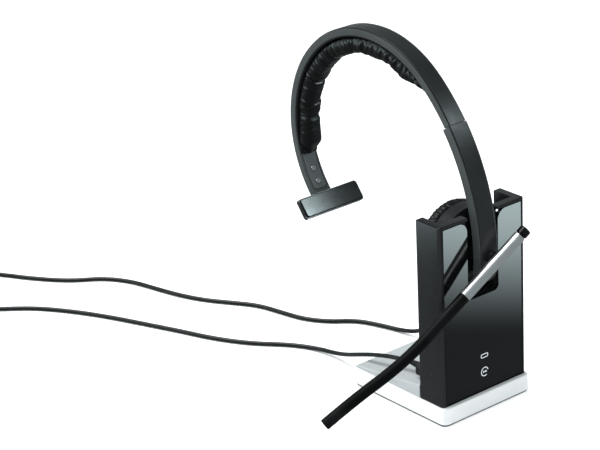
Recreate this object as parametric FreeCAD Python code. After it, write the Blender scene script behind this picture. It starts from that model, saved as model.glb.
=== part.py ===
"""Office headset standing in its charging dock, with two cords.

Millimetres. X is the dock's width, +Y runs from its front to its back, +Z is up.
The origin is the middle of the dock's underside, on the table.
The headband is an arch in the plane x = 0. It is made of arcs that share their tangents, so a
point on it is given by phi, the angle of its outward normal (0 = +Y, 90 = +Z, 180 = -Y), and by
its depth below the arch's outer line.
The boom is given by its distance from the ear cup's axis and by how far it stands in front.
"""
import FreeCAD, Part
import os
from math import atan2, cos, degrees, hypot, pi, radians, sin, sqrt, tan

V = FreeCAD.Vector
X_AXIS, Y_AXIS, Z_AXIS = V(1, 0, 0), V(0, 1, 0), V(0, 0, 1)

# ---- driving dimensions -------------------------------------------------------------------
# ear cup
cup_radius = 25.0
cup_shell_wall = 1.6
cup_pocket_gap = 2.4        # ear cup to the pocket's side walls
cup_saddle_gap = 0.3        # ear cup to the saddle that it stands in
cup_front = 6.0             # cup's nose behind the tower's front face
cup_dome_rise = 4.5         # cup's nose to the edge of its dome
cup_split = 13.0            # joint between the cup's cover and housing
cup_back = 19.0             # back of the housing, where the ear cushion starts
cushion_thickness = 8.6
cushion_hole_radius = 11.5
ball_radius = 2.0
ball_y = 4.2
ball_gap = 0.06
boss_radius = 5.2
driver_radius = 14.0

# dock
base_depth = 78.5
base_height = 10.8
base_margin = 1.4           # base beyond the tower, each side
base_corner = 4.0
base_wall = 2.0
foot_thickness = 1.0
foot_inset = 0.6
cover_thickness = 1.6
ballast_thickness = 3.0
tower_height = 110.0
tower_depth = 19.4
tower_setback = 2.6         # tower's front face behind the base's front edge
side_wall = 5.1
front_wall = 5.2
tower_floor = 2.5
tower_corner = 2.0
panel_thickness = 1.5
panel_margin = 2.2          # shell left showing beside the panel
panel_gap = 0.25
slot_width = 22.8
slot_floor = 60.3           # above the base
slot_corner = 3.0
slot_flare = 6.5
light_radius = 0.8          # status light in the slot's upper corner
light_inset = 1.25
mark_depth = 0.6            # lit marks let into the panel
cup_height = 85.4           # ear cup's axis above the base
deck_high = 8.0             # sloping deck where it meets the tower
deck_low = 1.3              # sloping deck at its back edge
deck_inset = 1.2
socket_height = 12.2        # socket axis above the base
socket_x = 21.5
insert_gap = 0.2
rear_cover_thickness = 2.0
board_thickness = 1.6
board_y = 7.2

# headband
strap_width = 13.0
arm_extra_width = 0.8
band_thickness = 4.6
arm_thickness = 6.2
arch_breaks = (-48.0, 90.0, 131.0, 190.0)   # phi where one arc hands over to the next
arch_radii = (71.4, 73.3, 127.1)
arm_reach = 5.3             # arm's outer line in front of the tower at phi = 180
arm_level = 1.6             # that point below the ear cup's axis
arm_drop = 9.0              # middle of the arm's rounded lower end below that axis
seam_phi = 144.3            # where the arm slides into the band
seam_gap = 0.15             # degrees of phi
band_end_phi = -45.0
inlay_margin = 0.55         # width of the frame's lip beside the outer inlay
inlay_gap = 0.2
inlay_depth = 1.9
lip_depth = 0.5             # frame's lip below the inlay's face
slot_depth = 2.2            # top of the hollow that the slider runs in
slider_width = 8.6
slider_thickness = 1.0
slider_gap = 0.3
slider_travel = 25.0
slider_hold = 8.0           # slider left in the band when it is fully out
pad_width = 12.4
pad_depth = 15.2            # pad's inner face below the arch's outer line
plate_width = 9.4
screw_head_radius = 1.6

# temple pad
temple_length = 45.0
temple_height = 12.8
temple_thickness = 3.8
temple_pad_thickness = 1.3
temple_corner = 1.6
temple_tilt = -38.0         # phi of the pad's normal
temple_y = 129.4            # middle of the pad's inner face behind the tower's front
temple_z = -4.0             # and above the ear cup's axis
temple_pin_radius = 0.8
pin_gap = 0.05

# boom
boom_angle = 35.9           # below the horizontal, towards -X
boom_offset = 12.2          # tube's middle in front of the tower, at the cup's axis
boom_slope = 0.131          # rise towards +Y per millimetre along the boom
tube_radius = 3.45
tube_bore = 2.8
tube_short = 17.8           # pivot to the tube's upper end
tube_long = 27.8            # pivot to the tube's lower end
boom_radius = 3.3
boom_bend_start = 58.0
boom_bend_slope = 0.43
boom_reach = 128.6
tip_length = 9.0
hub_radius = 3.7
hub_gap = 0.35
spindle_radius = 2.4
button_length = 4.2
button_travel = 0.8

# cords
cord_diameter = 2.6
coil_turn_radius = 15.6     # middle of the turns
coil_bundle = 9.6
plug_width, plug_height, plug_length = 10.5, 7.2, 10.0
relief_length = 9.0

# ---- sizes that follow --------------------------------------------------------------------
pocket_half = cup_radius + cup_pocket_gap
tower_width = 2 * (pocket_half + side_wall)
base_width = tower_width + 2 * base_margin
front = -base_depth / 2 + tower_setback
tower_back = front + tower_depth
tower_top = base_height + tower_height
base_back = base_depth / 2
cup_z = base_height + cup_height
saddle_radius = cup_radius + cup_saddle_gap
saddle_floor = cup_z - saddle_radius - 3.0
socket_z = base_height + socket_height
arm_width = strap_width + arm_extra_width
floor_top = base_height + tower_floor


# ---- helpers ------------------------------------------------------------------------------
def save(name, *solids):
    """Writes one sub-part, and reports a solid that isn't sound."""
    parts = []
    for solid in solids:
        parts += solid.Solids
    for part in parts:
        if not part.isValid() or part.Volume <= 0:
            print("UNSOUND", name)
    shape = parts[0] if len(parts) == 1 else Part.makeCompound(parts)
    shape.exportStep("parts/%s.step" % name)
    print("%-22s %9.1f mm3, %d solid(s)" % (name, sum(p.Volume for p in parts), len(parts)))


def block(x, y, z):
    """Box from three (low, high) pairs."""
    return Part.makeBox(x[1] - x[0], y[1] - y[0], z[1] - z[0], V(x[0], y[0], z[0]))


def around(middle, size):
    """(low, high) about a middle."""
    return (middle - size / 2, middle + size / 2)


def rod(start, direction, radius, length):
    return Part.makeCylinder(radius, length, start, direction)


def outline(corners, place):
    """Closed wire with rounded corners. corners holds (u, v, radius); place maps (u, v) to 3-D."""
    count = len(corners)
    edges, ends = [], []
    for i, (u, v, radius) in enumerate(corners):
        before, after = corners[i - 1], corners[(i + 1) % count]
        a = (before[0] - u, before[1] - v)
        b = (after[0] - u, after[1] - v)
        a = (a[0] / hypot(*a), a[1] / hypot(*a))
        b = (b[0] / hypot(*b), b[1] / hypot(*b))
        if radius == 0:
            ends.append(((u, v), (u, v), None))
            continue
        half = atan2(abs(a[0] * b[1] - a[1] * b[0]), a[0] * b[0] + a[1] * b[1]) / 2
        reach = radius / tan(half)
        middle = (a[0] + b[0], a[1] + b[1])
        size = hypot(*middle)
        away = radius / sin(half) - radius
        ends.append(((u + a[0] * reach, v + a[1] * reach), (u + b[0] * reach, v + b[1] * reach),
                     (u + middle[0] / size * away, v + middle[1] / size * away)))
    for i, (arrive, leave, bulge) in enumerate(ends):
        if bulge:
            edges.append(Part.Arc(place(*arrive), place(*bulge), place(*leave)).toShape())
        following = ends[(i + 1) % count][0]
        if hypot(following[0] - leave[0], following[1] - leave[1]) > 1e-6:
            edges.append(Part.LineSegment(place(*leave), place(*following)).toShape())
    return Part.Wire(edges)


def prism(wire, direction):
    return Part.Face(wire).extrude(direction)


def on_xy(z):
    return lambda u, v: V(u, v, z)


def on_xz(y):
    return lambda u, v: V(u, y, v)


def on_yz(x):
    return lambda u, v: V(x, u, v)


def rectangle(x, y, radius):
    return [(x[0], y[0], radius), (x[1], y[0], radius), (x[1], y[1], radius), (x[0], y[1], radius)]


def slab(x, y, z, radius):
    """Flat plate with rounded upright corners."""
    return prism(outline(rectangle(x, y, radius), on_xy(z[0])), V(0, 0, z[1] - z[0]))


def panel(x, z, y, radius):
    """Upright plate, facing Y, with rounded corners."""
    return prism(outline(rectangle(x, z, radius), on_xz(y[0])), V(0, y[1] - y[0], 0))


def turned(profile):
    """Solid of revolution about the ear cup's axis. profile holds (radius, y) or, for an arc,
    ((radius, y) of a point on it, (radius, y) of its end)."""
    place = lambda p: V(p[0], front + p[1], cup_z)
    edges = []
    here = profile[0]
    for step in profile[1:] + profile[:1]:
        if isinstance(step[0], tuple):
            edges.append(Part.Arc(place(here), place(step[0]), place(step[1])).toShape())
            here = step[1]
        elif hypot(step[0] - here[0], step[1] - here[1]) > 1e-6:
            edges.append(Part.LineSegment(place(here), place(step)).toShape())
            here = step
    return Part.Face(Part.Wire(edges)).revolve(V(0, 0, cup_z), Y_AXIS, 360)


def edges_along(shape, test):
    return [edge for edge in shape.Edges if test(edge)]


def at_height(z):
    return lambda edge: all(abs(v.Z - z) < 1e-4 for v in edge.Vertexes)


def at_y(y):
    return lambda edge: all(abs(v.Y - y) < 1e-4 for v in edge.Vertexes)


# ---- the headband's arch ------------------------------------------------------------------
def arch_centres():
    """Centre (y, z) of each arc, worked up from the arm's foot."""
    last = (front - arm_reach + arch_radii[-1], cup_z - arm_level)
    centres = [last]
    for k in range(len(arch_radii) - 2, -1, -1):
        turn = radians(arch_breaks[k + 1])
        step = arch_radii[k + 1] - arch_radii[k]
        y, z = centres[0]
        centres.insert(0, (y + step * cos(turn), z + step * sin(turn)))
    return centres


ARCH = arch_centres()


def arch_arc(phi):
    for k in range(len(arch_radii)):
        if phi <= arch_breaks[k + 1]:
            return k
    return len(arch_radii) - 1


def arch_point(phi, depth, x=0.0):
    k = arch_arc(phi)
    radius = arch_radii[k] - depth
    return V(x, ARCH[k][0] + radius * cos(radians(phi)), ARCH[k][1] + radius * sin(radians(phi)))


def arch_edges(start, end, depth, x):
    """The arcs from one phi to another, at one depth."""
    inside = [b for b in arch_breaks if min(start, end) < b < max(start, end)]
    stops = [start] + sorted(inside, reverse=end < start) + [end]
    edges = []
    for a, b in zip(stops, stops[1:]):
        middle = arch_point((a + b) / 2, depth, x)
        edges.append(Part.Arc(arch_point(a, depth, x), middle, arch_point(b, depth, x)).toShape())
    return edges


def arch_strip(outer, inner, width):
    """Solid that follows the arch. outer and inner each hold (phi start, phi end, depth)."""
    side = -width / 2
    edges = arch_edges(outer[0], outer[1], outer[2], side)
    edges.append(Part.LineSegment(arch_point(outer[1], outer[2], side),
                                  arch_point(inner[1], inner[2], side)).toShape())
    edges += arch_edges(inner[1], inner[0], inner[2], side)
    edges.append(Part.LineSegment(arch_point(inner[0], inner[2], side),
                                  arch_point(outer[0], outer[2], side)).toShape())
    return prism(Part.Wire(edges), V(width, 0, 0))


def arch_bar(start, end, top, bottom, width):
    return arch_strip((start, end, top), (start, end, bottom), width)


def arch_normal(phi):
    return V(0, cos(radians(phi)), sin(radians(phi)))


def long_edges(shape, width, depth, slack=0.02):
    """Edges of an arch bar that run along it at one depth, on both sides."""
    found = []
    for edge in shape.Edges:
        sides = [v.X for v in edge.Vertexes]
        if any(abs(abs(x) - width / 2) > 1e-3 for x in sides) or abs(sides[0] - sides[-1]) > 1e-3:
            continue
        middle = edge.valueAt((edge.FirstParameter + edge.LastParameter) / 2)
        for k, (y, z) in enumerate(ARCH):
            off = hypot(middle.y - y, middle.z - z) - (arch_radii[k] - depth)
            if abs(off) < slack and edge.Length > 4 and arch_arc(phi_of(middle, k)) == k:
                found.append(edge)
                break
    return found


def phi_of(point, k):
    phi = degrees(atan2(point.z - ARCH[k][1], point.y - ARCH[k][0]))
    return phi + 360 if phi < -90 else phi


# ---- cords --------------------------------------------------------------------------------
def cord_path(points):
    """Straight runs joined by tangent arcs through a hand-made list of points."""
    points = [V(*p) for p in points]
    edges, here, radii = [], points[0], []
    for a, b, c in zip(points, points[1:], points[2:]):
        arrive, leave = b - a, c - b
        shorter = min(arrive.Length, leave.Length)
        turn = arrive.getAngle(leave)
        arrive.normalize()
        leave.normalize()
        reach = 0.45 * shorter
        radii.append(reach / tan(turn / 2))
        start, end = b - arrive * reach, b + leave * reach
        inward = (leave - arrive).normalize()
        middle = b + inward * (hypot(radii[-1], reach) - radii[-1])
        edges.append(Part.LineSegment(here, start).toShape())
        edges.append(Part.Arc(start, middle, end).toShape())
        here = end
    edges.append(Part.LineSegment(here, points[-1]).toShape())
    return Part.Wire(edges), radii


def cord_tube(name, points):
    path, radii = cord_path(points)
    direction = V(*points[1]) - V(*points[0])
    circle = Part.Wire(Part.makeCircle(cord_diameter / 2, V(*points[0]), direction))
    tube = Part.Wire(path).makePipeShell([circle], True, False)
    expected = pi * cord_diameter ** 2 / 4 * path.Length
    print("%s: length %.1f, radii %s, volume / (section x length) %.4f"
          % (name, path.Length, [round(r) for r in radii], tube.Volume / expected))
    return tube


def coil(centre):
    """Outer shape of a neat round coil that lies on the table."""
    x, y = centre
    inner, outer = coil_turn_radius - coil_bundle / 2, coil_turn_radius + coil_bundle / 2
    corners = [(inner, 0.0, 3.0), (outer, 0.0, 3.0), (outer, coil_bundle, 3.0), (inner, coil_bundle, 3.0)]
    profile = outline(corners, lambda u, v: V(x + u, y, v))
    return Part.Face(profile).revolve(V(x, y, 0), Z_AXIS, 360)


# ---- dock: base ---------------------------------------------------------------------------
boss_x, boss_y = base_width / 2 - 8.0, base_depth / 2 - 8.0
base_boss_radius, base_screw_radius, base_screw_head = 3.2, 1.25, 2.4
base_bosses = [(x, y) for x in (-boss_x, boss_x) for y in (-boss_y, boss_y)]
housing_bottom = foot_thickness
plate_top = housing_bottom + cover_thickness


def base_rectangle(inset):
    half_x, half_y = base_width / 2 - inset, base_depth / 2 - inset
    return (-half_x, half_x), (-half_y, half_y)


def make_base():
    sides = base_rectangle(0)
    housing = slab(*sides, (housing_bottom, base_height), base_corner)
    housing = housing.makeFillet(0.9, edges_along(housing, at_height(base_height)))
    hollow_z = (housing_bottom, base_height - base_wall)
    hollow = slab(*base_rectangle(base_wall), hollow_z, base_corner - base_wall)
    housing = housing.cut(hollow)
    for x, y in base_bosses:
        post = rod(V(x, y, plate_top), Z_AXIS, base_boss_radius, base_height - base_wall - plate_top)
        housing = housing.fuse(post)
        housing = housing.cut(rod(V(x, y, plate_top), Z_AXIS, base_screw_radius, 5.0))
    save("base_housing", housing.removeSplitter())

    cover = slab(*base_rectangle(base_wall + 0.1), (housing_bottom, plate_top), base_corner - base_wall)
    screws = []
    for x, y in base_bosses:
        head = rod(V(x, y, housing_bottom), Z_AXIS, base_screw_head, 1.0)
        shank = rod(V(x, y, housing_bottom + 1.0), Z_AXIS, base_screw_radius, 5.0)
        cross = block(around(x, 2.6), around(y, 0.6), (housing_bottom - 1, housing_bottom + 0.5))
        screw = head.fuse(shank).removeSplitter()
        cover = cover.cut(screw)
        screws.append(screw.cut(cross))
    save("bottom_cover", cover)
    save("bottom_screws", *screws)

    ballast = slab(*base_rectangle(base_wall + 2.0), (plate_top, plate_top + ballast_thickness), 1.0)
    for x, y in base_bosses:
        around_post = rod(V(x, y, plate_top - 1), Z_AXIS, base_boss_radius + 0.4, ballast_thickness + 2)
        ballast = ballast.cut(around_post)
    save("ballast_plate", ballast)

    save("foot_pad", slab(*base_rectangle(foot_inset), (0.0, foot_thickness), base_corner - foot_inset))


deck_start, deck_end = tower_back + 0.1, base_back - deck_inset
deck_slope = (deck_high - deck_low) / (deck_end - deck_start)
deck_wall = 1.6


def make_deck():
    """Wedge behind the tower that slopes down to the back edge, hollow underneath."""
    half = base_width / 2 - deck_inset
    corners = [(deck_start, base_height, 0), (deck_end, base_height, 0),
               (deck_end, base_height + deck_low, 0), (deck_start, base_height + deck_high, 0)]
    deck = prism(outline(corners, on_yz(-half)), V(2 * half, 0, 0))
    low = base_height + deck_low - 0.01
    upper = edges_along(deck, lambda e: e.BoundBox.ZMin > low and e.BoundBox.YMax > deck_start + 1)
    deck = deck.makeFillet(0.9, upper)
    start = deck_start + deck_wall
    height = deck_high - deck_wall * 1.1 - deck_slope * deck_wall
    under = base_height - 0.01
    corners = [(start, under, 0), (start + height / deck_slope, under, 0), (start, base_height + height, 0)]
    hollow = prism(outline(corners, on_yz(-half + deck_wall)), V(2 * (half - deck_wall), 0, 0))
    save("rear_deck", deck.cut(hollow))


# ---- dock: tower --------------------------------------------------------------------------
def slot_outline(half, floor, top, corner, flare, y):
    """U shape, open at the top. The flare rounds the mouth outwards."""
    low = [(-half, floor, corner), (half, floor, corner)]
    if flare == 0:
        return outline([(-half, top, 0)] + low + [(half, top, 0)], on_xz(y))
    left = [(-half - flare, top + 1, 0), (-half - flare, top, 0), (-half, top, flare)]
    right = [(-u, v, radius) for u, v, radius in reversed(left)]
    return outline(left + low + right, on_xz(y))


def make_tower():
    half = tower_width / 2
    z = (base_height, tower_top)
    corners = [(-half, front, tower_corner), (half, front, tower_corner), (half, tower_back, 0.8),
               (-half, tower_back, 0.8)]
    shell = prism(outline(corners, on_xy(z[0])), V(0, 0, tower_height))
    shell = shell.makeFillet(0.7, edges_along(shell, at_height(tower_top)))
    pocket_y = (front + front_wall, tower_back + 1)
    shell = shell.cut(block((-pocket_half, pocket_half), pocket_y, (floor_top, tower_top + 1)))
    slot = slot_outline(slot_width / 2, base_height + slot_floor, tower_top + 5, slot_corner, 0, front - 1)
    shell = shell.cut(prism(slot, V(0, front_wall + 2, 0)))
    panel_x = half - panel_margin
    panel_z = (base_height + 0.6, tower_top - 1.5)
    rebate = panel((-panel_x, panel_x), panel_z, (front - 1, front + panel_thickness + 0.1), 1.0)
    shell = shell.cut(rebate)
    light_seat = V(slot_width / 2 + light_inset, front + panel_thickness + 0.1, panel_z[1] - light_inset)
    light = rod(light_seat, Y_AXIS, light_radius, 1.2)
    shell = shell.cut(light)
    save("tower_shell", shell.removeSplitter())
    dome = Part.makeSphere(light_radius + 0.2, light_seat + Y_AXIS * 0.7)
    dome = dome.common(rod(light_seat - Y_AXIS, Y_AXIS, light_radius, 1.5))
    save("status_light", light.fuse(dome).removeSplitter())

    face_x = panel_x - panel_gap
    face_z = (panel_z[0] + panel_gap, panel_z[1] - panel_gap)
    face = panel((-face_x, face_x), face_z, (front, front + panel_thickness), 0.8)
    floor = base_height + slot_floor
    slot = slot_outline(slot_width / 2, floor, face_z[1], slot_corner, slot_flare, front - 1)
    face = face.cut(prism(slot, V(0, panel_thickness + 2, 0)))
    face = face.makeChamfer(0.35, edges_along(face, at_y(front)))
    marks = make_marks()
    for mark in marks:
        face = face.cut(mark[1])
    save("front_panel", face)
    for name, mark in marks:
        save(name, mark)


def make_marks():
    """Two lit marks, let into the front panel: a rounded frame and an open ring."""
    upper, lower = base_height + 22.2, base_height + 12.1
    y = (front, front + mark_depth)
    frame = panel(around(0, 5.6), around(upper, 2.6), y, 1.0)
    frame = frame.cut(panel(around(0, 4.6), around(upper, 1.6), y, 0.6))
    middle = V(0, front, lower)
    ring = rod(middle, Y_AXIS, 2.9, mark_depth).cut(rod(middle, Y_AXIS, 2.35, mark_depth))
    ring = ring.cut(block((0.6, 4.0), (front - 1, front + 4), (lower - 2.2, lower + 0.6)))
    dots = [rod(V(x, front, lower), Y_AXIS, 0.6, mark_depth) for x in (-0.75, 0.85)]
    return [("window_mark", frame), ("ring_mark", Part.makeCompound([ring] + dots))]


def pocket_outline(half, bottom, radius, y):
    """Block with a round trough for the ear cup in its top."""
    rise = cup_z - radius * sin(radians(35))
    reach = radius * cos(radians(35))
    place = on_xz(y)
    corners = [(-reach, rise), (-half, rise), (-half, bottom), (half, bottom), (half, rise), (reach, rise)]
    edges = [Part.LineSegment(place(*a), place(*b)).toShape() for a, b in zip(corners, corners[1:])]
    edges.append(Part.Arc(place(reach, rise), place(0, cup_z - radius), place(-reach, rise)).toShape())
    return Part.Wire(edges)


cover_screw_x, cover_screw_z = pocket_half - 7.4, saddle_floor + 6.3
pin_x, pin_radius, pin_y, pin_length = 5.2, 0.9, front + 15.0, 3.8
pin_top = cup_z - sqrt(cup_radius ** 2 - (pin_x - pin_radius) ** 2) - 0.35


def make_pocket():
    half = pocket_half - insert_gap
    y = (front + front_wall + 0.1, tower_back - rear_cover_thickness - 0.1)
    saddle = prism(pocket_outline(half, saddle_floor, saddle_radius, y[0]), V(0, y[1] - y[0], 0))
    pins = []
    for x in (-pin_x, pin_x):
        saddle = saddle.cut(rod(V(x, pin_y, saddle_floor - 1), Z_AXIS, pin_radius + pin_gap, 10.0))
        pins.append(rod(V(x, pin_y, pin_top), -Z_AXIS, pin_radius, pin_length))
    cover = prism(pocket_outline(half, floor_top, pocket_half, y[1] + 0.1), V(0, rear_cover_thickness, 0))
    screws = []
    for x in (-cover_screw_x, cover_screw_x):
        head = rod(V(x, tower_back, cover_screw_z), -Y_AXIS, 2.2, 1.2)
        shank = rod(V(x, tower_back - 1.2, cover_screw_z), -Y_AXIS, 1.1, 6.0)
        screw = head.fuse(shank).removeSplitter()
        saddle = saddle.cut(screw)
        cover = cover.cut(screw)
        bar = block(around(x, 2.6), (tower_back - 0.5, tower_back + 1), around(cover_screw_z, 0.55))
        post = block(around(x, 0.55), (tower_back - 0.5, tower_back + 1), around(cover_screw_z, 2.6))
        screws.append(screw.cut(bar).cut(post))
    save("cradle_saddle", saddle)
    save("charging_pins", *pins)
    usb_hole = panel(around(-socket_x, 8.0), around(socket_z, 3.4), (tower_back - 4, tower_back + 1), 0.8)
    line_hole = block(around(socket_x, 12.0), (tower_back - 4, tower_back + 1), around(socket_z, 10.6))
    save("rear_cover", cover.cut(usb_hole).cut(line_hole))
    save("rear_cover_screws", *screws)


def make_electronics():
    y = (front + board_y, front + board_y + board_thickness)
    board = block((-24.0, 27.0), y, (floor_top, saddle_floor - 0.1))
    save("dock_board", board)
    can_z = floor_top + 31.0
    can = block(around(1.0, 22.0), (y[1], y[1] + 3.0), around(can_z, 18.0))
    can = can.makeFillet(0.8, edges_along(can, at_y(y[1] + 3.0)))
    can = can.cut(block(around(1.0, 21.4), (y[1] - 1, y[1] + 2.7), around(can_z, 17.4)))
    save("radio_shield", can)
    back = tower_back - 0.15
    shell = panel(around(-socket_x, 7.6), around(socket_z, 3.0), (y[1], back), 0.7)
    mouth = panel(around(-socket_x, 7.0), around(socket_z, 2.4), (back - 6.5, back + 1), 0.5)
    save("usb_socket", shell.cut(mouth))
    jack = block(around(socket_x, 11.6), (y[1], back), around(socket_z, 10.2))
    mouth = block(around(socket_x, 7.9), (back - 8.0, back + 1), around(socket_z, 6.9))
    save("line_socket", jack.cut(mouth))


# ---- dock: cords --------------------------------------------------------------------------
usb_coil_centre = (-158.0, 279.0)
line_coil_centre = (-124.5, 331.0)
usb_start = (-socket_x, tower_back + plug_length + relief_length, socket_z)
line_start = (socket_x, tower_back + plug_length + relief_length, socket_z)
cord_z = cord_diameter / 2

usb_route = [
    usb_start,
    (-22.3, 9.6, 22.4),
    (-23.6, 19.0, 21.3),
    (-25.0, 31.0, 18.6),
    (-24.6, 44.0, 14.0),
    (-22.0, 58.0, 8.0),
    (-19.6, 72.0, 3.2),
    (-20.4, 88.0, cord_z),
    (-29.5, 105.0, cord_z),
    (-44.0, 121.0, cord_z),
    (-56.5, 143.0, cord_z),
    (-65.5, 168.0, cord_z),
    (-75.5, 193.0, cord_z),
    (-86.0, 219.0, cord_z),
    (-98.5, 243.0, cord_z),
    (-111.5, 262.0, cord_z),
    (-128.6, 277.1, cord_z),
    (-148.2, 291.1, cord_z),
]

line_route = [
    line_start,
    (21.8, 11.0, 22.6),
    (24.0, 22.0, 21.6),
    (28.0, 35.0, 18.4),
    (32.0, 46.0, 12.0),
    (33.6, 57.0, 4.6),
    (32.4, 70.0, cord_z),
    (28.0, 86.0, cord_z),
    (22.0, 101.0, cord_z),
    (9.5, 111.5, cord_z),
    (0.5, 125.8, cord_z),
    (-3.2, 142.5, cord_z),
    (-7.0, 162.0, cord_z),
    (-17.0, 178.0, cord_z),
    (-26.0, 192.0, cord_z),
    (-33.0, 209.0, cord_z),
    (-38.0, 229.0, cord_z),
    (-42.5, 250.0, cord_z),
    (-53.0, 268.0, cord_z),
    (-70.0, 279.5, cord_z),
    (-85.0, 299.0, cord_z),
    (-98.0, 322.5, cord_z),
    (-112.0, 340.4, cord_z),
]


def tapered(start, direction, near, far, length):
    return Part.makeCone(near, far, length, start, direction)


def make_cords():
    y = tower_back
    plug_y = (y + 0.2, y + plug_length)
    body = panel(around(-socket_x, plug_width), around(socket_z, plug_height), plug_y, 2.0)
    body = body.makeFillet(0.8, edges_along(body, at_y(y + plug_length)))
    tongue = panel(around(-socket_x, 6.6), around(socket_z, 1.8), (y - 5.5, y + 0.2), 0.4)
    save("usb_plug", body.fuse(tongue).removeSplitter())
    relief = tapered(V(-socket_x, y + plug_length, socket_z), Y_AXIS, 2.3, 1.5, relief_length)
    save("usb_strain_relief", relief)
    body = block(around(socket_x, 7.6), (y - 7.5, y + 4.0), around(socket_z, 6.6))
    latch = block(around(socket_x, 3.2), (y - 0.1, y + 3.2), (socket_z + 3.3, socket_z + 4.3))
    save("line_plug", body.fuse(latch).removeSplitter())
    long_relief = plug_length + relief_length - 4.0
    relief = tapered(V(socket_x, y + 4.0, socket_z), Y_AXIS, 2.6, 1.5, long_relief)
    save("line_strain_relief", relief)

    save("usb_cord", cord_tube("usb_cord", usb_route))
    save("line_cord", cord_tube("line_cord", line_route))
    save("usb_cord_coil", coil(usb_coil_centre))
    save("line_cord_coil", coil(line_coil_centre))
    make_computer_plug()
    make_phone_plug()


far_plug_offset = coil_turn_radius + 2.5


def make_computer_plug():
    """Type A plug that lies beside its coil: overmoulded grip with its relief, metal shell."""
    x, y = usb_coil_centre[0] - far_plug_offset, usb_coil_centre[1] - 8.0
    relief = tapered(V(x, y, 4.2), -Y_AXIS, 1.5, 2.6, 10.5)
    grip = block(around(x, 14.0), (y - 30.0, y - 10.0), (0.0, 8.4))
    grip = grip.makeFillet(1.6, grip.Edges)
    save("computer_plug_grip", grip.fuse(relief).removeSplitter())
    metal = block(around(x, 12.0), (y - 42.0, y - 30.0), (1.95, 6.45))
    metal = metal.cut(block(around(x, 11.3), (y - 43.0, y - 33.0), (2.3, 6.1)))
    tongue = block(around(x, 10.6), (y - 41.0, y - 33.0), (4.3, 6.05))
    save("computer_plug_shell", metal.fuse(tongue).removeSplitter())


def make_phone_plug():
    """Small modular plug that lies beside its coil, with the cord's tail going into its back."""
    x, y = line_coil_centre[0] - far_plug_offset, line_coil_centre[1] - 8.0
    tail = tapered(V(x, y, 3.9), -Y_AXIS, 1.5, 1.9, 7.0)
    body = block(around(x, 9.6), (y - 18.5, y - 6.5), (0.6, 7.2))
    latch = block(around(x, 3.4), (y - 17.5, y - 7.0), (7.2, 8.4))
    save("phone_plug", body.fuse([latch, tail]).removeSplitter())


# ---- headset: ear cup ---------------------------------------------------------------------
def dome(inset):
    """Front of the cup: a flat nose, a curved shoulder and a short straight side."""
    nose, edge = cup_radius * 0.36, cup_radius - inset
    top, side = cup_front + inset, cup_front + cup_dome_rise + inset * 0.4
    middle = ((nose + edge) / 2 + 1.5, (top + side) / 2 - 0.9)
    return nose, edge, top, side, middle


def dome_solid(inset, back):
    nose, edge, top, side, middle = dome(inset)
    return turned([(0, top), (nose, top), (middle, (edge, side)), (edge, back), (0, back)])


def make_cup():
    outer = dome_solid(0, cup_split)
    inner = dome_solid(cup_shell_wall, cup_split + 1)
    boss = rod(V(0, front + ball_y - 1.9, cup_z), Y_AXIS, boss_radius, 6.3)
    ball_centre = V(0, front + ball_y, cup_z)
    cover = outer.cut(inner).fuse(boss)
    cover = cover.cut(Part.makeSphere(ball_radius + ball_gap, ball_centre))
    cover = cover.cut(rod(V(0, front, cup_z), Y_AXIS, 1.75, ball_y))
    save("cup_cover", cover.removeSplitter())

    wall = cup_radius - cup_shell_wall
    lip = 1.5
    housing = turned([(wall, cup_split + 0.1), (cup_radius, cup_split + 0.1), (cup_radius, cup_back),
                      (wall - 2.0, cup_back), (wall - 2.0, cup_back - lip), (wall, cup_back - lip)])
    pad_front, pad_back = cup_split + 0.2, cup_back - 0.1
    shell = turned([(wall + 0.4, pad_front), (cup_radius, pad_front),
                    (cup_radius, pad_back), (wall + 0.4, pad_back)])
    pads = []
    for x in (-pin_x, pin_x):
        pad = rod(V(x, pin_y, cup_z - cup_radius - 1), Z_AXIS, 1.5, 4.0)
        pad = pad.common(shell)
        housing = housing.cut(pad)
        pads.append(pad)
    save("cup_housing", housing)
    save("charging_pads", *pads)

    baffle_y = cup_back - lip - 1.3
    baffle = rod(V(0, front + baffle_y, cup_z), Y_AXIS, wall - 0.2, 1.2)
    for ring, count in ((0.0, 1), (4.0, 6), (8.0, 12)):
        for i in range(count):
            turn = 2 * pi * i / count
            hole = V(ring * cos(turn), front + baffle_y - 1, cup_z + ring * sin(turn))
            baffle = baffle.cut(rod(hole, Y_AXIS, 0.9, 4.0))
    save("speaker_baffle", baffle)
    magnet_y = baffle_y - 4.4
    speaker = turned([(0, magnet_y), (8.0, magnet_y), (8.0, magnet_y + 2.4),
                      (driver_radius, magnet_y + 2.8), (driver_radius, baffle_y), (0, baffle_y)])
    save("speaker_driver", speaker)
    board_back = magnet_y - 0.1
    save("headset_board", rod(V(0, front + board_back - 0.9, cup_z), Y_AXIS, 20.0, 0.9))
    battery_y = (front + board_back - 3.2, front + board_back - 0.9)
    battery = block((5.8, 16.5), battery_y, around(cup_z, 14.0))
    save("headset_battery", battery.common(rod(V(0, front, cup_z), Y_AXIS, 16.8, 20)))

    soft = (cup_radius - cushion_hole_radius) / 2
    cushion = turned([(cushion_hole_radius + 2.0, cup_back), (cup_radius - 0.6, cup_back),
                      ((cup_radius, cup_back + cushion_thickness * 0.4),
                       (cup_radius - soft * 0.55, cup_back + cushion_thickness)),
                      (cushion_hole_radius + soft * 0.45, cup_back + cushion_thickness),
                      ((cushion_hole_radius, cup_back + cushion_thickness * 0.45),
                       (cushion_hole_radius + 2.0, cup_back))])
    save("ear_cushion", cushion)


# ---- headset: arm -------------------------------------------------------------------------
arm_foot_phi = 188.5
stud_y = -1.4


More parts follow.
